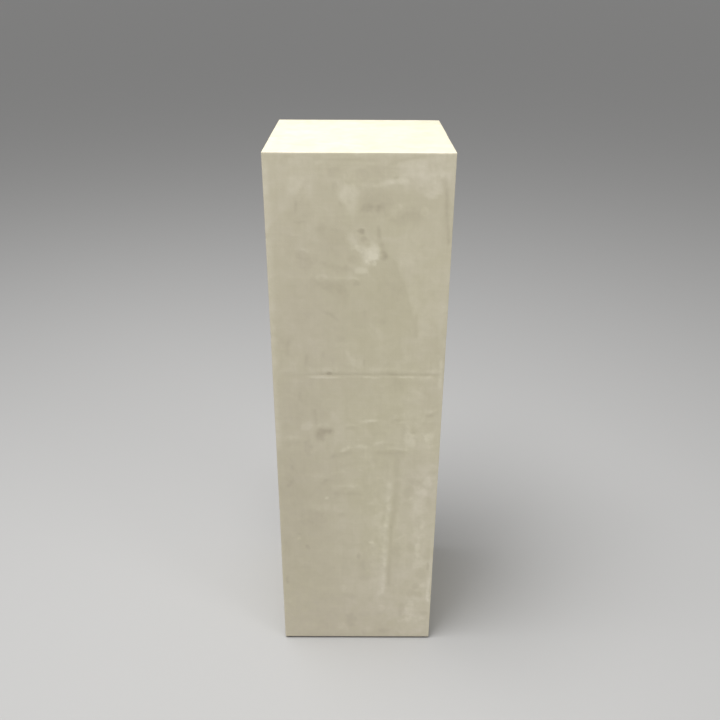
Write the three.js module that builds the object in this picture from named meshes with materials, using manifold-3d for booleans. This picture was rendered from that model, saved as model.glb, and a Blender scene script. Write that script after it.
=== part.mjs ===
// A tall square display plinth: a hollow box of board, coated outside with trowelled plaster,
// open below, and held just off the floor by a low foot of dense felt under each corner.
// Units are millimetres. +Z is up, +X is to the right and the front faces -Y.
// The origin is on the floor, under the middle of the plinth.
import * as THREE from "three";
import { RoundedBoxGeometry } from "three/addons/geometries/RoundedBoxGeometry.js";
import { mergeVertices } from "three/addons/utils/BufferGeometryUtils.js";
import Module from "manifold-3d";

// Driving dimensions
const boxSide = 300;
const boxHeight = 1000;
const boardThickness = 18;
const coatThickness = 2;
const arrisRadius = 2.5;
const arrisSegments = 3;
const footHeight = 4;
const footDiameter = 16;
const footRimRadius = 0.8;
const footMargin = 3;
const footSides = 24;

// Worked out from them
const wallThickness = boardThickness + coatThickness;
const hollowSide = boxSide - 2 * wallThickness;
const hollowHeight = boxHeight - wallThickness;
const footRadius = footDiameter / 2;
const footOffset = boxSide / 2 - footMargin - footRadius;

const wasm = await Module();
wasm.setup();

// Turns a closed three.js geometry into a solid that can be cut.
function solidFrom(geometry) {
  const bare = geometry.clone();
  bare.deleteAttribute("normal");
  bare.deleteAttribute("uv");
  const merged = mergeVertices(bare);
  return new wasm.Manifold(
    new wasm.Mesh({
      numProp: 3,
      vertProperties: merged.attributes.position.array,
      triVerts: new Uint32Array(merged.index.array),
    }),
  );
}

// Turns a cut solid back into a geometry that a mesh can show.
function geometryFrom(solid) {
  const { vertProperties, triVerts } = solid.getMesh();
  const geometry = new THREE.BufferGeometry();
  geometry.setAttribute("position", new THREE.BufferAttribute(vertProperties, 3));
  geometry.setIndex(new THREE.BufferAttribute(triVerts, 1));
  geometry.computeVertexNormals();
  return geometry;
}

// Materials
const trowelledPlaster = new THREE.MeshStandardMaterial({
  color: new THREE.Color().setRGB(0.62, 0.575, 0.44),
  roughness: 0.6,
  metalness: 0,
});
const darkFelt = new THREE.MeshStandardMaterial({
  color: new THREE.Color().setRGB(0.035, 0.032, 0.03),
  roughness: 0.95,
  metalness: 0,
});

// The box: coat and board are bonded into one shell. All its arrises are eased,
// and the hollow runs out through the underside.
function plasteredBox() {
  const outside = new RoundedBoxGeometry(boxSide, boxSide, boxHeight, arrisSegments, arrisRadius);
  outside.translate(0, 0, footHeight + boxHeight / 2);

  const throughUnderside = wallThickness;
  const cutHeight = hollowHeight + throughUnderside;
  const hollow = new THREE.BoxGeometry(hollowSide, hollowSide, cutHeight);
  hollow.translate(0, 0, footHeight + hollowHeight - cutHeight / 2);

  const mesh = new THREE.Mesh(geometryFrom(solidFrom(outside).subtract(solidFrom(hollow))), trowelledPlaster);
  mesh.name = "plastered_box";
  return mesh;
}

// One foot: a disc of felt with a softened lower rim, turned about its own axis. Its top meets the
// underside of the box and its own underside is on the floor.
function feltFoot(name, x, y) {
  const profile = [
    new THREE.Vector2(0, 0),
    new THREE.Vector2(footRadius - footRimRadius, 0),
    new THREE.Vector2(footRadius, footRimRadius),
    new THREE.Vector2(footRadius, footHeight),
    new THREE.Vector2(0, footHeight),
  ];
  const disc = new THREE.LatheGeometry(profile, footSides);
  disc.rotateX(Math.PI / 2);

  const mesh = new THREE.Mesh(disc, darkFelt);
  mesh.name = name;
  mesh.position.set(x, y, 0);
  return mesh;
}

const plinth = new THREE.Group();
plinth.add(plasteredBox());
for (const [end, ySign] of [
  ["front", -1],
  ["back", 1],
]) {
  for (const [side, xSign] of [
    ["left", -1],
    ["right", 1],
  ]) {
    plinth.add(feltFoot(`felt_foot_${end}_${side}`, xSign * footOffset, ySign * footOffset));
  }
}

export default plinth;
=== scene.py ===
import math
import random
from collections import namedtuple

import bmesh
import bpy
import numpy as np
from mathutils import Matrix, Vector, noise


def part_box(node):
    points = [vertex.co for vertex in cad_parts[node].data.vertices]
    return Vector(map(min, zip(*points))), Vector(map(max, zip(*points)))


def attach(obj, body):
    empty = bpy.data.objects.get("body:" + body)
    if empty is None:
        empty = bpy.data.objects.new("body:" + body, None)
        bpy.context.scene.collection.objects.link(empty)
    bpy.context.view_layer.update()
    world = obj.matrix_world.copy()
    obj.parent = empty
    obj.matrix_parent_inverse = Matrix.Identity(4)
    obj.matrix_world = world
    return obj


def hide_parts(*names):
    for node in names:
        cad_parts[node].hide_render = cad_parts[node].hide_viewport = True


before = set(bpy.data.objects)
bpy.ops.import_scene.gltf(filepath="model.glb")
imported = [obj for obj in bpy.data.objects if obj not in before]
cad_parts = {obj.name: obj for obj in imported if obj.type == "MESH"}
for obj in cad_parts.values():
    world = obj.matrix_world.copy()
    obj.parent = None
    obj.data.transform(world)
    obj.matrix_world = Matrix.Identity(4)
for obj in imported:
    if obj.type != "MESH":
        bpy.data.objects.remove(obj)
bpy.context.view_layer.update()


# Camera: a person's view, standing close in front of the plinth and looking down at it,
# so that the front and the top show and the sides do not.
MM = 0.001
camera_place = Vector((-0.7, -1345.3, 1242.8)) * MM
camera_turn_right = math.radians(0.18)
camera_tilt_down = math.radians(26.34)
camera_roll = math.radians(0.32)
camera_lens = 38.65

camera = bpy.data.objects.new("camera", bpy.data.cameras.new("camera"))
camera.data.lens = camera_lens
camera.data.clip_end = 300
camera.matrix_world = (
    Matrix.Translation(camera_place)
    @ Matrix.Rotation(-camera_turn_right, 4, "Z")
    @ Matrix.Rotation(math.pi / 2 - camera_tilt_down, 4, "X")
    @ Matrix.Rotation(camera_roll, 4, "Z")
)
bpy.context.scene.collection.objects.link(camera)
bpy.context.scene.camera = camera


# The plinth itself: a box of 18 mm board, closed on top and open below. A 2 mm coat of fine
# plaster is laid on it by hand with a steel trowel, so each face is a little uneven and
# clouded, and the trowel has eased every arris.
box_low, box_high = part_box("plastered_box")
box_size = box_high - box_low
half_width = box_size.x / 2
coat_thickness = 2 * MM
board_thickness = 18 * MM
arris_radius = 1 * MM
arris_steps = 3
patch_size = 5 * MM
face_reach = 4 * MM
groove_level = 622 * MM
groove_reach = 16 * MM
# How the trowel works the coat. Depths and reaches are in millimetres, as in the marks.
left_hollow = 0.8
least_sunk = 0.02
most_sunk = 1.9
sway_reach = 1.5
chip_depth = 0.9
chip_threshold = 0.25
chip_reach = 2
# A paler band along every arris is painted highlight, where the eased arris catches the light.
arris_highlight_tone = 0.25
arris_highlight_reach = 5


def long_outer_edges(shell, axis):
    """The straight edges of the outside that run along one axis, from arris to arris."""
    found = []
    for edge in shell.edges:
        start, end = edge.verts[0].co, edge.verts[1].co
        along = abs(end[axis] - start[axis])
        outside = max(abs(start.x), abs(start.y)) > half_width - coat_thickness - 0.1 * MM
        on_top = min(start.z, end.z) > box_high.z - arris_radius - 0.1 * MM
        if along > box_size.x / 2 and along > 0.99 * (end - start).length and (outside or on_top):
            found.append(edge)
    return found


def box_shell():
    """The box before the trowel's marks, cut into small patches that relief can move."""
    shell = bmesh.new()
    bmesh.ops.create_cube(shell, size=1)
    bmesh.ops.scale(shell, vec=box_size, verts=shell.verts)
    bmesh.ops.translate(shell, vec=(box_low + box_high) / 2, verts=shell.verts)
    arrises = list(shell.edges)

    shell.normal_update()
    underside = min(shell.faces, key=lambda face: face.normal.z)
    bmesh.ops.inset_region(
        shell, faces=[underside], thickness=coat_thickness, use_even_offset=True
    )
    board_edge = bmesh.ops.inset_region(
        shell, faces=[underside], thickness=board_thickness, use_even_offset=True
    )["faces"]
    walls_before = set(shell.faces)
    hollow = bmesh.ops.extrude_discrete_faces(shell, faces=[underside])["faces"][0]
    hollow_height = box_size.z - coat_thickness - board_thickness
    bmesh.ops.translate(shell, vec=(0, 0, hollow_height), verts=hollow.verts)
    for face in set(board_edge) | (set(shell.faces) - walls_before):
        face.material_index = 1

    bmesh.ops.bevel(
        shell, geom=arrises, offset=arris_radius, offset_type="OFFSET", segments=arris_steps,
        profile=0.5, affect="EDGES", material=-1,
    )

    for axis in (2, 0, 1):
        edges = long_outer_edges(shell, axis)
        cuts = round(edges[0].calc_length() / patch_size) - 1
        bmesh.ops.subdivide_edges(shell, edges=edges, cuts=cuts, use_grid_fill=True)

    front_edges = [
        edge for edge in shell.edges if all(v.co.y < box_low.y + 0.01 * MM for v in edge.verts)
    ]
    bmesh.ops.subdivide_edges(shell, edges=front_edges, cuts=1, use_grid_fill=True)
    groove_edges = [
        edge for edge in shell.edges
        if all(v.co.y < box_low.y + 0.01 * MM and abs(v.co.z - groove_level) < groove_reach
               for v in edge.verts)
        and abs(edge.verts[0].co.z - edge.verts[1].co.z) > 0.1 * MM
    ]
    bmesh.ops.subdivide_edges(shell, edges=groove_edges, cuts=1, use_grid_fill=True)
    return shell


# The trowel's marks. Places on a face are in millimetres: x to the right of its middle line and
# z above the floor, or y on the top. A tone of 1 is the palest plaster, and -1 the darkest.
Blot = namedtuple("Blot", "x z wide high turn tone depth", defaults=(0,))
Line = namedtuple("Line", "start end bow width height tone")
Lap = namedtuple("Lap", "start end bow fade height tone")


def soft(value):
    """Eases a value that runs from 0 to 1."""
    value = np.clip(value, 0, 1)
    return value * value * (3 - 2 * value)


def blot_mask(across, up, wear, blot):
    """1 in the middle of an oval patch, half at its worn outline, 0 outside it."""
    turn = math.radians(blot.turn)
    fade = min(0.7 + blot.wide / 60, 2)
    right, rise = across - blot.x, up - blot.z
    along = (right * math.cos(turn) + rise * math.sin(turn)) * 2 / blot.wide
    beside = (rise * math.cos(turn) - right * math.sin(turn)) * 2 / blot.high
    return soft(0.5 + (1 - np.hypot(along, beside) + wear) / fade)


def off_curve(across, up, mark):
    """How far places lie to the left of a shallow curve, and a mask that fades at its ends."""
    start, end = Vector(mark.start), Vector(mark.end)
    length = (end - start).length
    direction = (end - start) / length
    right, rise = across - start.x, up - start.y
    share = (right * direction.x + rise * direction.y) / length
    off = rise * direction.x - right * direction.y - mark.bow * 4 * share * (1 - share)
    end_fade = min(12, length / 3) / length
    return off, soft(share / end_fade) * soft((1 - share) / end_fade)


def lay_marks(across, up, wear, marks):
    """The height, in millimetres, and the tone that a face's marks give at each place."""
    height, tone = np.zeros(len(across)), np.zeros(len(across))
    for mark in marks:
        if isinstance(mark, Blot):
            mask = blot_mask(across, up, wear, mark)
            height -= mark.depth * mask
            tone += mark.tone * mask
            continue
        off, ends = off_curve(across, up, mark)
        if isinstance(mark, Line):
            mask = ends * np.exp(-((2 * off / mark.width) ** 2))
        else:
            mask = ends * np.tanh(off / 2) * np.exp(-np.abs(off) / mark.fade)
        mask *= np.maximum(1 + wear, 0)
        height += mark.height * mask
        tone += mark.tone * mask
    return height, tone


# The marks on the front, roughly from the top down. Some of the faint ones only even out the
# seeded clouds, where those are too pale or too dark.
# Where a line or lap has a height, its tone is partly painted light and shade: paler where it is raised,
# darker where it is sunk.
front_marks = [
    # Painted light: a paler band across the top of the front, where the lamp above lights it more.
    Blot(-30, 985, 320, 50, 0, 0.1),
    Blot(6, 969, 20, 18, 0, -0.3),
    Blot(38, 975, 28, 22, 0, -0.28),
    Blot(-37, 950, 9, 14, 0, -0.35),
    Blot(114, 981, 16, 16, 0, -0.3),
    Blot(131, 957, 12, 16, 0, -0.35),
    Blot(130, 972, 12, 12, 0, 0.3),
    Blot(-116, 990, 14, 20, 0, -0.25),
    Line((-76, 994), (36, 991), 0, 4, -0.05, -0.3),
    Line((-72, 983), (-50, 993), 2, 6, 0, 0.3),
    Line((-22, 988), (34, 986), 0, 6, 0.05, 0.1),
    Line((-96, 944), (-85, 969), 0, 6, 0, 0.3),
    Line((134, 984), (141, 962), 0, 7, 0, 0.12),
    Blot(45, 957, 44, 9, 8, 0.45),
    Blot(2, 955, 16, 12, 0, 0.1),
    Blot(124, 948, 14, 20, 0, 0.3),
    Blot(104, 912, 12, 14, 0, 0.35),
    Line((-100, 932), (-100, 905), 0, 4, 0, -0.3),
    Line((-33, 930), (-27, 918), 0, 4, 0, -0.35),
    Line((-112, 873), (-88, 872), 0, 4, 0.04, 0.2),
    Blot(-1, 850, 9, 12, 0, 0.45),
    Blot(-86, 826, 34, 16, 0, -0.25),
    # Painted highlight: a pale line down the left arris of the front, where it catches the light.
    Line((-147, 1000), (-147, 460), 0, 15, 0.03, 0.3),
    Line((40, 983), (112, 999), 3, 5, -0.06, -0.35),
    Line((-118, 995), (-96, 998), 0, 5, -0.05, -0.35),
    Line((48, 956), (66, 963), 0, 4, 0.06, 0.2),
    Line((53, 963), (63, 969), 0, 4, 0, -0.5),
    Blot(95, 975, 90, 40, 8, 0.4),
    Blot(112, 955, 26, 40, 0, 0.15),
    Blot(118, 938, 20, 12, 10, 0.2),
    Blot(-101, 954, 20, 34, -25, 0.25),
    Blot(-82, 943, 14, 22, -15, 0.15),
    Blot(-15, 939, 30, 46, 5, 0.5),
    Blot(-14, 908, 16, 22, 0, 0.1),
    Blot(-42, 975, 20, 14, 0, -0.3),
    Blot(16, 978, 26, 14, 10, -0.1),
    Blot(30, 927, 60, 36, 0, -0.4),
    Blot(15, 917, 18, 15, 0, -0.55),
    Blot(60, 918, 24, 10, 20, 0.25),
    Blot(33, 918, 16, 16, 0, -0.5),
    Blot(80, 905, 44, 24, 0, -0.42),
    Blot(-90, 918, 34, 30, 0, -0.2),
    Line((-112, 893), (-72, 897), 0, 5, -0.05, -0.2),
    Line((137, 956), (146, 850), -2, 6, -0.12, -0.5),
    Blot(-60, 886, 26, 14, 0, -0.2),
    Blot(-38, 862, 50, 60, 0, -0.2),
    Blot(-10, 861, 14, 32, 22, 0.35),
    Blot(5, 879, 13, 11, 0, -1.0, 0.1),
    Blot(7, 867, 12, 10, 0, -0.45),
    Blot(25, 845, 26, 24, 0, 0.75),
    Blot(20, 836, 24, 16, 0, 0.55),
    Blot(26, 827, 7, 10, 0, 0.7),
    Blot(39, 839, 11, 15, 0, -0.55),
    Blot(8, 851, 12, 14, 0, 0.25),
    Blot(9, 827, 12, 10, 0, 0.25),
    Line((31, 893), (34, 860), 0, 6, -0.10, -0.5),
    Line((34, 868), (46, 828), 0, 8, -0.05, -0.55),
    Blot(3, 813, 15, 10, 0, 0.5),
    Blot(-88, 836, 26, 14, -35, -0.2),
    Line((-97, 851), (-76, 844), 0, 4, 0.05, 0.2),
    Blot(-10, 833, 22, 16, 0, -0.2),
    Blot(-32, 818, 40, 10, -12, -0.3),
    Line((-45, 800), (6, 798), 1, 4, 0.08, 0.3),
    Blot(-61, 800, 16, 9, 0, 0.35),
    Blot(-48, 789, 60, 18, 0, -0.35),
    Blot(-28, 772, 24, 24, 0, -0.2),
    Blot(-3, 790, 12, 10, 0, -0.4),
    Blot(60, 785, 34, 40, -20, -0.15),
    Blot(40, 755, 110, 70, 0, -0.1),
    Lap((54, 840), (101, 686), 6, 30, 0.04, 0.14),
    Blot(82, 846, 30, 34, 0, 0.15),
    Line((-64, 742), (-30, 721), 3, 6, -0.05, -0.4),
    Blot(-85, 734, 14, 14, 0, -0.2),
    Line((12, 748), (9, 722), 0, 6, 0, -0.2),
    Line((34, 722), (38, 650), 0, 9, 0.04, 0.12),
    Blot(-5, 645, 30, 16, -15, 0.25),
    Line((-86, 665), (-91, 640), 0, 7, 0, -0.4),
    # Painted light and shade: the right of the front paler and the left darker, as light from the right
    # falls on it.
    Blot(112, 720, 60, 200, 0, 0.15),
    Blot(-100, 770, 80, 160, 0, -0.1),

    # The groove at 622 mm is real relief, partly painted: painted shade in the groove and in the pit, and
    # a painted highlight on its lower lip.
    Line((-97, 621.2), (-25, 621.2), 0, 5.5, -0.2, -0.05),
    Line((-40, 621), (62, 621), 0, 5.5, -0.16, -0.08),
    Line((48, 620.8), (143, 620.5), 0, 6, -0.18, -0.12),
    Line((-92, 628), (142, 628), 0, 9, 0.08, 0.1),
    Line((-88, 617), (-26, 617), 0, 4, 0.03, 0.4),
    Line((4, 617.3), (42, 617.3), 0, 4, 0.03, 0.4),
    Line((66, 617), (104, 617), 0, 4, 0.03, 0.4),
    Blot(-51, 624.5, 9, 6, 0, -1.0, 0.3),

    Line((96, 743), (100, 690), 0, 8, 0, -0.3),
    Blot(39, 723, 14, 10, 0, -0.25),
    Blot(-32, 692, 14, 12, 0, -0.2),
    Line((-117, 702), (-122, 655), 0, 10, 0, -0.35),
    Line((-61, 668), (-61, 653), 0, 5, 0, -0.25),
    Line((-21, 674), (-11, 647), 0, 7, 0, 0.2),
    Line((10, 654), (10, 636), 0, 5, 0, -0.35),
    # Painted highlight: a pale line along the right arris of the front.
    Line((144, 656), (144, 590), 0, 8, 0.03, 0.5),
    Line((33, 624), (92, 622.5), 0, 7, 0, -0.25),
    Blot(57, 628, 26, 10, 0, -0.2),
    Blot(-46, 633, 40, 10, 0, 0.2),
    Line((18, 632), (76, 635), 0, 7, 0, 0.15),
    Line((98, 618), (132, 618), 0, 6, 0, 0.2),
    Blot(68, 603, 26, 24, 0, -0.28),
    Blot(104, 545, 34, 90, 0, 0.15),
    Blot(111, 579, 26, 26, 0, -0.15),
    Line((118, 538), (139, 541), 0, 7, 0, -0.5),
    Line((60, 531), (90, 530), 0, 5, 0, -0.2),
    Line((-26, 513), (4, 517), 0, 8, 0, -0.4),
    Blot(-92, 518, 20, 16, 0, 0.3),
    Blot(122, 445, 36, 150, 0, 0.14),
    Line((-122, 436), (-121, 416), 0, 6, 0, -0.3),
    Blot(-73, 409, 26, 22, -20, 0.22),
    Line((0, 423), (13, 421), 0, 6, 0, 0.3),
    Line((134, 368), (133, 343), 0, 8, 0, -0.2),
    Blot(128, 396, 20, 16, 30, 0.25),
    Blot(-88, 322, 50, 16, 0, -0.15),
    Blot(36, 320, 22, 70, 0, 0.12),
    Blot(47, 137, 14, 28, 0, 0.17),
    Blot(16, 164, 22, 18, 0, -0.22),
    # Painted highlight: a pale line along the right arris of the front.
    Line((143, 168), (143, 96), 0, 6, 0.03, 0.6),
    Line((140, 206), (141, 180), 0, 4, 0, -0.6),
    Blot(50, 85, 12, 18, 0, 0.25),
    Blot(120, 30, 50, 50, 0, 0.14),
    Line((-105, 592), (-102, 564), 0, 8, 0, -0.3),
    Line((-78, 560), (-75, 516), 0, 7, -0.05, -0.25),
    Blot(-85, 560, 60, 60, 0, -0.08),
    Blot(-42, 497, 130, 100, 0, 0.13),
    Line((0, 521), (48, 532), 2, 5.5, 0.13, 0.4),
    Line((14, 528), (38, 528), 1, 4, 0.05, 0.3),
    Line((58, 526), (93, 525), 0, 5, 0.12, 0.2),
    Line((60, 540), (80, 540), 0, 5, 0.08, 0.15),
    Line((120, 545), (149, 554), 1, 6, 0.12, 0.35),
    Line((119, 528), (141, 530), 0, 5, 0.09, 0.3),
    Line((117, 522), (138, 524), 0, 5, 0.05, 0),
    Line((92, 505), (107, 505), 0, 3, 0, -0.7),
    Blot(93, 492, 20, 40, 10, 0.4),
    Blot(131, 487, 14, 30, 0, 0.4),
    Blot(112, 448, 32, 36, 0, -0.25),
    Line((-77, 508), (-39, 508), 0, 16, -0.03, -1.0),
    Line((-70, 512), (-68, 480), 0, 16, -0.03, -1.0),
    Blot(-120, 493, 26, 9, 0, 0.25),
    Blot(-118, 480, 36, 10, 0, -0.13),
    Blot(-91, 474, 11, 30, 0, -0.25),
    Blot(-81, 610, 14, 10, 0, -0.2),
    Blot(66, 528, 14, 8, 0, -0.3),
    Blot(-65, 546, 30, 26, 0, -0.15),
    Blot(-62, 519, 26, 10, 0, 0.25),
    Blot(-10, 519, 22, 12, 0, 0.25),
    Line((-36, 460), (-8, 477), 1, 8, 0.14, 0.6),
    Line((-14, 475), (25, 471), 1, 9, 0.13, 0.45),
    Line((24, 475), (52, 486), 1, 6, 0.12, 0.45),
    Line((-54, 450), (-6, 461), 2, 9, -0.06, -0.4),
    Line((48, 472), (98, 466), 1, 4, 0.12, 0.15),
    Line((26, 459), (92, 459), 1, 12, -0.05, -0.35),
    Line((-40, 430), (5, 435), 1, 9, -0.03, -0.1),
    Line((-58, 410), (-18, 421), 2, 9, 0.09, 0.2),
    Line((-57, 385), (16, 386), 0, 11, 0.16, 0.25),
    Line((-52, 405), (-69, 384), -2, 9, 0, -0.35),
    Line((-50, 369), (12, 369), 0, 10, 0, -0.3),
    Line((-119, 407), (-135, 381), 2, 8, -0.05, -0.35),
    Blot(108, 396, 34, 12, -20, -0.35),
    Blot(95, 374, 16, 28, -20, -0.3),
    Line((72, 470), (72, 398), 0, 12, 0, -0.25),

    # The upright ridge is real relief, partly painted: a painted highlight on its left flank and painted
    # shade on its right flank.
    Line((58, 400), (54, 286), 3, 9, 0.22, 0.35),
    Line((55, 305), (52, 118), 0, 10, 0.22, 0.25),
    Line((73, 404), (65, 286), 2, 10, -0.15, -0.3),
    Line((65, 300), (63, 142), 0, 7, -0.18, -0.4),
    Blot(42, 200, 26, 130, 0, 0.12),
    Blot(75, 232, 22, 36, 0, -0.35),

    Blot(-59, 359, 7, 7, 0, 0.7),
    Blot(-70, 338, 56, 16, -6, 0.3),
    Blot(-75, 305, 50, 34, 0, -0.12),
    # Painted light and shade: the lower left of the front darker and the right paler, as light from the
    # right falls on it.
    Blot(-120, 240, 120, 460, 0, -0.25),
    Blot(110, 260, 130, 420, 0, 0.2),
    Blot(-30, 318, 16, 9, 0, -0.2),
    Blot(5, 285, 150, 170, 0, 0.1),
    Blot(117, 352, 26, 80, 0, 0.25),
    Blot(124, 292, 12, 12, 0, 0.35),
    Blot(118, 275, 24, 26, 0, 0.18),
    Blot(119, 238, 12, 36, 0, 0.4),
    Blot(104, 243, 14, 30, 0, -0.25),
    Blot(122, 200, 24, 24, 0, 0.3),
    Blot(136, 222, 12, 26, 0, -0.2),
    Blot(25, 253, 9, 6, 0, 0.5),
    Blot(-113, 263, 8, 8, 0, 0.4),
    Blot(-113, 274, 10, 6, 0, -0.25),
    Blot(-98, 241, 8, 10, 0, -0.45),
    Blot(3, 218, 7, 12, 0, -0.5),
    Line((-140, 262), (-140, 212), 0, 7, -0.05, -0.1),
    Line((-141, 172), (-140, 142), 0, 5, -0.05, -0.4),
    Blot(-40, 232, 20, 30, 0, 0.15),
    Blot(12, 196, 12, 24, 0, -0.25),
    Blot(127, 175, 20, 24, 0, -0.22),
    Blot(132, 144, 14, 14, 0, 0.3),
    Blot(118, 142, 14, 14, 0, -0.35),
    Blot(64, 146, 14, 12, 0, -0.25),
    Line((-140, 191), (-72, 190), 0, 5, 0, -0.2),
    Blot(110, 122, 16, 16, 30, -0.25),
    Blot(126, 120, 12, 18, 30, -0.3),
    Line((-24, 150), (-29, 120), 0, 9, 0, 0.15),
    Blot(-38, 190, 12, 40, 0, 0.15),
    Line((-63, 132), (-77, 97), 0, 11, 0, -0.25),
    Blot(-14, 117, 22, 14, 0, -0.3),
    Blot(25, 108, 10, 10, 0, -0.1),
    Blot(125, 92, 50, 50, 0, 0.2),
    Blot(90, 88, 14, 26, 0, -0.25),
    Blot(106, 78, 18, 46, -8, 0.3),
    Blot(112, 52, 44, 12, 5, 0.3),
    Blot(137, 70, 16, 12, 0, -0.25),
    Blot(-13, 50, 20, 30, 0, -0.35),
    Blot(-30, 32, 24, 26, 0, 0.28),
    Blot(25, 22, 20, 18, 0, 0.2),
    Blot(-95, 34, 22, 24, 0, 0.08),
    Blot(55, 20, 24, 14, 0, -0.4),
    Blot(15, 68, 20, 16, 0, -0.2),
    Blot(45, 68, 16, 12, 0, -0.2),
    Blot(94, 69, 12, 20, 0, -0.25),
    Blot(15, 17, 14, 14, 0, -0.25),
]

# Where the front is a little pinker (above 0) or greener (below 0).
front_flushes = [
    Blot(-95, 720, 110, 200, 0, 0.3),
    Blot(-85, 540, 120, 150, 0, 0.3),
    # Painted light: the bottom of the front is made cooler, as light bounced off the floor tints it.
    Blot(0, 150, 340, 420, 0, 0.5),
    Blot(0, 20, 340, 120, 0, 0.5),
    Blot(45, 330, 90, 260, 0, -0.6),
    Blot(0, 700, 300, 400, 0, -0.2),
    Blot(60, 980, 180, 60, 0, 0.3),
]


def seeded_marks(seed, low, high, strength=1):
    """Marks of the same kinds and sizes on a face that is as wide as the box, from low to high."""
    dice = random.Random(seed)
    reach = half_width / MM
    marks = []
    for _ in range(round((high - low) / 13)):
        wide = dice.uniform(10, 70)
        high_over_wide = dice.uniform(0.5, 1.6)
        tone = strength * dice.choice((-1, 1)) * dice.uniform(0.1, 0.35)
        place = dice.uniform(-reach, reach), dice.uniform(low, high)
        marks.append(Blot(*place, wide, wide * high_over_wide, dice.uniform(-40, 40), tone))
    for _ in range(round((high - low) / 18)):
        start = Vector((dice.uniform(-reach, reach - 40), dice.uniform(low, high)))
        slope = math.radians(dice.gauss(0, 18))
        end = start + dice.uniform(20, 90) * Vector((math.cos(slope), math.sin(slope)))
        # Painted light and shade: each line's tone is three times its height, so raised lines are paler
        # and sunk ones darker.
        height = strength * dice.uniform(0.05, 0.15) * dice.choice((1, 1, -1))
        marks.append(
            Line(start, end, dice.uniform(0, 4), dice.uniform(4, 9), height, height * 3)
        )
    for _ in range(round((high - low) / 200)):
        start = Vector((dice.uniform(-reach + 30, reach - 30), dice.uniform(low + 60, high)))
        slope = math.radians(dice.uniform(-130, -50))
        end = start + dice.uniform(90, 180) * Vector((math.cos(slope), math.sin(slope)))
        # Painted light and shade: each lap is paler on its raised side and darker on its sunk side.
        lift = strength * dice.choice((-1, 1))
        marks.append(Lap(start, end, dice.uniform(5, 14), 30, 0.05 * lift, 0.18 * lift))
    return marks


def noise_field(points, size, octaves, seed=0):
    """Soft random values of about -1 to 1, in lumps of that size in millimetres."""
    shift = Vector((31.7 * seed, 0, 0))
    return np.array([noise.fractal(Vector(p) / size + shift, 1, 2, octaves) for p in points])


def trowel(mesh):
    """Moves the outside in by the unevenness of the coat and keeps each place's tone and hue."""
    count = len(mesh.vertices)
    points = np.empty(count * 3)
    mesh.vertices.foreach_get("co", points)
    points = points.reshape(-1, 3) / MM
    low, high = Vector(box_low) / MM, Vector(box_high) / MM
    reach = half_width / MM

    float_marks = noise_field(points, 130, 2)
    swells = noise_field(points, 34, 3, 1)
    sweeps = noise_field(points * (0.25, 0.25, 1), 16, 2, 2)
    sway = np.stack([noise_field(points, 24, 3, 3), noise_field(points, 24, 3, 4)])
    wear = 0.65 * noise_field(points, 13, 3, 5)
    hue_drift = 0.5 * noise_field(points, 150, 2, 6)
    unevenness = 0.26 + 0.2 * float_marks + 0.05 * swells + 0.012 * sweeps

    # Painted light: the whole top is made paler, as the lamp above lights it far more than the sides.
    top_marks = seeded_marks(7, -reach, reach, strength=0.4) + [Blot(0, 0, 500, 500, 0, 0.22)]
    faces = {
        "front": ((0, -1, 0), (1, 0, 0), front_marks, front_flushes),
        "right": ((1, 0, 0), (0, 1, 0), seeded_marks(4, low.z, high.z), []),
        "back": ((0, 1, 0), (-1, 0, 0), seeded_marks(5, low.z, high.z), []),
        "left": ((-1, 0, 0), (0, -1, 0), seeded_marks(6, low.z, high.z), []),
        # Painted light: the flush of 1 makes the top bluer-white, as it looks under the lamp above.
        "top": ((0, 0, 1), (1, 0, 0), top_marks, [Blot(0, 0, 500, 500, 0, 1)]),
    }
    depths = {
        name: (high.z if name == "top" else reach) - points @ np.array(face[0])
        for name, face in faces.items()
    }
    arris_distance = np.sort(list(depths.values()), axis=0)[1]
    chips = chip_depth * np.maximum(noise_field(points, 9, 2, 7) - chip_threshold, 0)
    chips *= np.exp(-arris_distance / chip_reach)
    tone, flush, on_faces = np.zeros((3, count))
    moved = points.copy()
    for name, (normal, right, marks, flushes) in faces.items():
        on_face = soft(1 - depths[name] * MM / face_reach)
        near = np.flatnonzero(on_face)
        across = points[near] @ np.array(right)
        up = points[near, 1 if name == "top" else 2]
        sunk = (unevenness + chips)[near]
        if name == "left":
            sunk += left_hollow * np.sin(math.pi * (up - low.z) / (high.z - low.z))
        swayed = across + sway_reach * sway[0, near], up + sway_reach * sway[1, near]
        height, mark_tone = lay_marks(*swayed, wear[near], marks)
        sunk = np.clip(sunk - height, least_sunk, most_sunk)
        moved[near] -= np.outer(sunk * on_face[near], normal)
        tone[near] += mark_tone * on_face[near]
        mark_flush = lay_marks(across, up, wear[near], flushes)[1]
        flush[near] += (hue_drift[near] + mark_flush) * on_face[near]
        on_faces[near] += on_face[near]
    mesh.vertices.foreach_set("co", (moved * MM).ravel())
    mesh.update()
    # Painted highlight: places near an arris are made paler, as if the eased arris caught the light.
    arris_highlight = arris_highlight_tone * np.exp(-arris_distance / arris_highlight_reach) * (0.6 + 0.6 * swells)
    tone = tone / np.maximum(on_faces, 1) + arris_highlight
    flush /= np.maximum(on_faces, 1)
    for name, values in (("tone", tone), ("flush", flush)):
        mesh.attributes.new(name, "FLOAT", "POINT").data.foreach_set("value", np.clip(values, -1, 1))


def add_node(tree, kind, inputs=None, **settings):
    """Adds a shader node, sets its options, and gives its sockets values or links."""
    made = tree.nodes.new("ShaderNode" + kind)
    for name, value in settings.items():
        setattr(made, name, value)
    for name, value in (inputs or {}).items():
        socket = made.inputs[name]
        if isinstance(value, bpy.types.NodeSocket):
            tree.links.new(value, socket)
        else:
            socket.default_value = value
    return made


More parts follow.
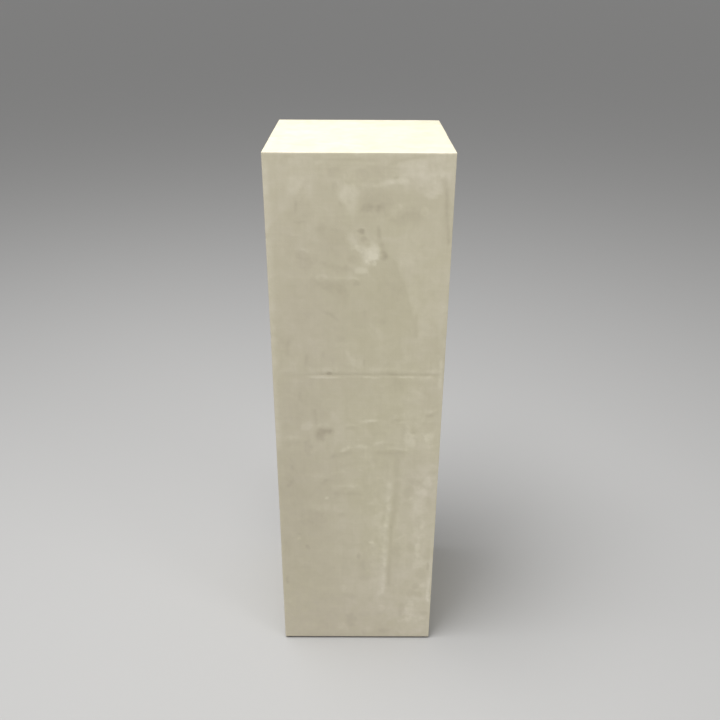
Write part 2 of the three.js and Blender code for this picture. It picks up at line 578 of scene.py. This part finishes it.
def empty_material(name):
    """A new material whose node tree holds only the object coordinates; returns it, the tree and those
    coordinates.
    """
    material = bpy.data.materials.new(name)
    material.use_nodes = True
    material.node_tree.nodes.clear()
    place = add_node(material.node_tree, "TexCoord").outputs["Object"]
    return material, material.node_tree, place


def finish_material(tree, **surface):
    """Gives the surface its shader, with these values or links on the shader's own sockets."""
    names = {
        "colour": "Base Color", "roughness": "Roughness", "normal": "Normal",
        "sheen": "Sheen Weight", "sheen_roughness": "Sheen Roughness",
    }
    inputs = {names[key]: value for key, value in surface.items()}
    shader = add_node(tree, "BsdfPrincipled", inputs)
    add_node(tree, "OutputMaterial", {"Surface": shader.outputs["BSDF"]})


def lumps(tree, place, size, detail=3, stretch=(1, 1, 1), distortion=0.0):
    """Noise between about -0.3 and 0.3, in lumps of that size."""
    scale = [1 / (size * along) for along in stretch]
    stretched = add_node(tree, "Mapping", {"Vector": place, "Scale": scale}).outputs[0]
    noise_inputs = {"Vector": stretched, "Scale": 1, "Detail": detail, "Distortion": distortion}
    values = add_node(tree, "TexNoise", noise_inputs).outputs["Fac"]
    return add_node(tree, "Math", {0: values, 1: 0.5}, operation="SUBTRACT").outputs[0]


def add_up(tree, start, *terms):
    """A start value plus each socket times its own amount."""
    total = start
    for socket, amount in terms:
        inputs = {0: socket, 1: amount, 2: total}
        total = add_node(tree, "Math", inputs, operation="MULTIPLY_ADD").outputs[0]
    return total


def multiply(tree, first, second):
    return add_node(tree, "Math", {0: first, 1: second}, operation="MULTIPLY").outputs[0]


def colour_steps(tree, value, *steps):
    """Turns a value from 0 to 1 into a colour that changes through evenly spaced steps."""
    ramp = add_node(tree, "ValToRGB", {"Fac": value})
    for number, colour in enumerate(steps):
        share = number / (len(steps) - 1)
        if number in (0, len(steps) - 1):
            step = ramp.color_ramp.elements[0 if number == 0 else -1]
        else:
            step = ramp.color_ramp.elements.new(share)
        step.color = (*colour, 1)
    return ramp.outputs["Color"]


def trowelled_plaster():
    """Fine plaster closed by the trowel to a low sheen: clouded, faintly streaked and grained."""
    material, tree, place = empty_material("trowelled_plaster")
    clouds = lumps(tree, place, 90 * MM, detail=5, distortion=0.4)
    mottling = lumps(tree, place, 24 * MM, detail=7, distortion=0.8)
    level_streaks = lumps(tree, place, 5 * MM, stretch=(14, 14, 1))
    upright_streaks = lumps(tree, place, 6 * MM, stretch=(1, 1, 12))
    worn = lumps(tree, place, 8 * MM, detail=6)
    grain = lumps(tree, place, 1.6 * MM, detail=4)
    scratched = lumps(tree, place, 0.8 * MM, detail=2, stretch=(50, 50, 1), distortion=0.5)
    scratches = add_node(tree, "MapRange", {0: scratched, 1: 0.16, 2: 0.26, 3: 0.0, 4: 1.0}).outputs[0]
    laid_tone = add_node(tree, "Attribute", attribute_name="tone").outputs["Fac"]
    marks = multiply(tree, laid_tone, add_up(tree, 1.0, (worn, 1.0)))
    shade = add_up(
        tree, 0.5, (marks, 0.5), (clouds, 0.24), (mottling, 0.3), (level_streaks, 0.1),
        (upright_streaks, 0.1), (grain, 0.12), (scratches, -0.08),
    )
    tone = colour_steps(tree, shade, (0.499, 0.447, 0.325), (0.627, 0.577, 0.425), (0.811, 0.757, 0.602))

    flush = add_node(tree, "Attribute", attribute_name="flush").outputs["Fac"]
    hue = add_up(tree, 0.5, (flush, 0.5), (mottling, 0.5))
    tint = colour_steps(tree, hue, (0.994, 1.004, 0.955), (1.008, 0.997, 1.05))
    colour = add_node(tree, "Mix", {0: 1.0, 6: tone, 7: tint}, data_type="RGBA", blend_type="MULTIPLY")

    pinholes = add_node(tree, "TexVoronoi", {"Vector": place, "Scale": 1 / (14 * MM)}).outputs["Distance"]
    pinhole = add_node(
        tree, "MapRange", {0: pinholes, 1: 0.03, 2: 0.07, 3: 1.0, 4: 0.0}, interpolation_type="SMOOTHSTEP"
    ).outputs[0]
    height = add_up(
        tree, 0.0, (grain, 0.4), (level_streaks, 0.6), (upright_streaks, 0.5), (worn, 0.8),
        (pinhole, -1.2), (scratches, -0.3),
    )
    bump = add_node(tree, "Bump", {"Strength": 1.0, "Distance": 0.16 * MM, "Height": height})
    finish_material(
        tree,
        colour=colour.outputs[2],
        roughness=add_up(tree, 0.58, (mottling, 0.3), (level_streaks, 0.15), (grain, 0.1)),
        normal=bump.outputs[0],
    )
    return material


def bare_board():
    """The board as it comes, inside the hollow: brown, fine-fibred and matt."""
    material, tree, place = empty_material("bare_board")
    flecks = lumps(tree, place, 1.5 * MM, detail=4)
    patches = lumps(tree, place, 60 * MM)
    shade = add_up(tree, 0.5, (flecks, 0.9), (patches, 0.7))
    bump = add_node(tree, "Bump", {"Strength": 0.6, "Distance": 0.1 * MM, "Height": flecks})
    finish_material(
        tree,
        colour=colour_steps(tree, shade, (0.26, 0.165, 0.09), (0.38, 0.26, 0.155), (0.47, 0.34, 0.215)),
        roughness=0.85,
        normal=bump.outputs[0],
    )
    return material


shell = box_shell()
mesh = bpy.data.meshes.new("plastered_plinth")
shell.to_mesh(mesh)
shell.free()
trowel(mesh)
for polygon in mesh.polygons:
    polygon.use_smooth = polygon.material_index == 0
mesh.materials.append(trowelled_plaster())
mesh.materials.append(bare_board())
plinth = bpy.data.objects.new("plastered_plinth", mesh)
bpy.context.scene.collection.objects.link(plinth)
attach(plinth, "root")
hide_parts("plastered_box")


# The feet: four small discs of dense dark felt, stuck under the corners so that the plinth
# neither scratches the floor nor drags on it. They leave a gap of 4 mm all round.
foot_rim = 0.8 * MM
foot_sides = 64


def dark_felt():
    """Pressed wool felt: matt, almost black, with short pale fibres on it."""
    material, tree, place = empty_material("dark_felt")
    fibres = lumps(tree, place, 0.5 * MM, detail=5, distortion=2.0)
    layers = lumps(tree, place, 0.7 * MM, stretch=(6, 6, 1))
    shade = add_up(tree, 0.45, (fibres, 1.4), (layers, 0.5))
    height = add_up(tree, 0.0, (fibres, 1.0), (layers, 0.6))
    bump = add_node(tree, "Bump", {"Strength": 1.0, "Distance": 0.2 * MM, "Height": height})
    finish_material(
        tree,
        colour=colour_steps(tree, shade, (0.016, 0.014, 0.013), (0.04, 0.036, 0.034), (0.1, 0.095, 0.09)),
        roughness=0.95,
        sheen=0.4,
        sheen_roughness=0.5,
        normal=bump.outputs[0],
    )
    return material


def felt_disc(low, high):
    """One disc, with soft rims and an edge that is a little uneven, as cut felt is."""
    disc = bmesh.new()
    radius = (high.x - low.x) / 2
    bmesh.ops.create_cone(
        disc, cap_ends=True, segments=foot_sides, radius1=radius, radius2=radius, depth=high.z - low.z
    )
    bmesh.ops.translate(disc, vec=(low + high) / 2, verts=disc.verts)
    rims = [edge for edge in disc.edges if abs(edge.verts[0].co.z - edge.verts[1].co.z) < 0.1 * MM]
    bmesh.ops.bevel(
        disc, geom=rims, offset=foot_rim, offset_type="OFFSET", segments=3, profile=0.5,
        affect="EDGES", material=-1,
    )
    walls = [edge for edge in disc.edges if abs(edge.verts[0].co.z - edge.verts[1].co.z) > MM]
    bmesh.ops.subdivide_edges(disc, edges=walls, cuts=4, use_grid_fill=True)
    middle = (low + high) / 2
    for vert in disc.verts:
        out = Vector((vert.co.x - middle.x, vert.co.y - middle.y, 0))
        if out.length > radius - 2 * foot_rim:
            fuzz = 0.5 + 0.5 * noise.noise(vert.co / (1.1 * MM))
            vert.co -= out.normalized() * fuzz * 0.25 * MM
    return disc


felt = dark_felt()
for end in ("front", "back"):
    for side in ("left", "right"):
        node = f"felt_foot_{end}_{side}"
        disc = felt_disc(*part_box(node))
        mesh = bpy.data.meshes.new(f"felt_disc_{end}_{side}")
        disc.to_mesh(mesh)
        disc.free()
        mesh.materials.append(felt)
        for polygon in mesh.polygons:
            polygon.use_smooth = len(polygon.vertices) < foot_sides
        foot = bpy.data.objects.new(mesh.name, mesh)
        bpy.context.scene.collection.objects.link(foot)
        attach(foot, "root")
        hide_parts(node)


# The studio: a plain pale floor, a broad soft light high above on the left, a weaker one further
# off on the right in front, and even light from all round.
floor_reach = 60
floor_grey = (0.48, 0.477, 0.472)
sky_grey = 0.4
light_target = Vector((0, 0, box_high.z / 2))

studio = bmesh.new()
bmesh.ops.create_grid(studio, x_segments=1, y_segments=1, size=floor_reach)
floor_mesh = bpy.data.meshes.new("floor")
studio.to_mesh(floor_mesh)
studio.free()
floor_material, floor_tree, _ = empty_material("floor_grey")
finish_material(floor_tree, colour=(*floor_grey, 1), roughness=0.9)
floor_mesh.materials.append(floor_material)
floor = bpy.data.objects.new("floor", floor_mesh)
bpy.context.scene.collection.objects.link(floor)


def soft_box(name, place, width, watts):
    """A square soft light, aimed at the middle of the plinth."""
    lamp = bpy.data.objects.new(name, bpy.data.lights.new(name, "AREA"))
    lamp.data.size = width
    lamp.data.energy = watts
    lamp.location = place
    lamp.rotation_mode = "QUATERNION"
    lamp.rotation_quaternion = (Vector(place) - light_target).to_track_quat("Z", "Y")
    bpy.context.scene.collection.objects.link(lamp)


soft_box("key_light", (-0.6, -0.45, 3.3), width=1.5, watts=101)
soft_box("fill_light", (2.8, -2.3, 1.3), width=1.2, watts=25)

world = bpy.data.worlds.new("soft_light")
world.use_nodes = True
world.node_tree.nodes["Background"].inputs["Strength"].default_value = 1
world.node_tree.nodes["Background"].inputs["Color"].default_value = (sky_grey, sky_grey, sky_grey, 1)
bpy.context.scene.world = world
bpy.context.scene.view_settings.view_transform = "Standard"
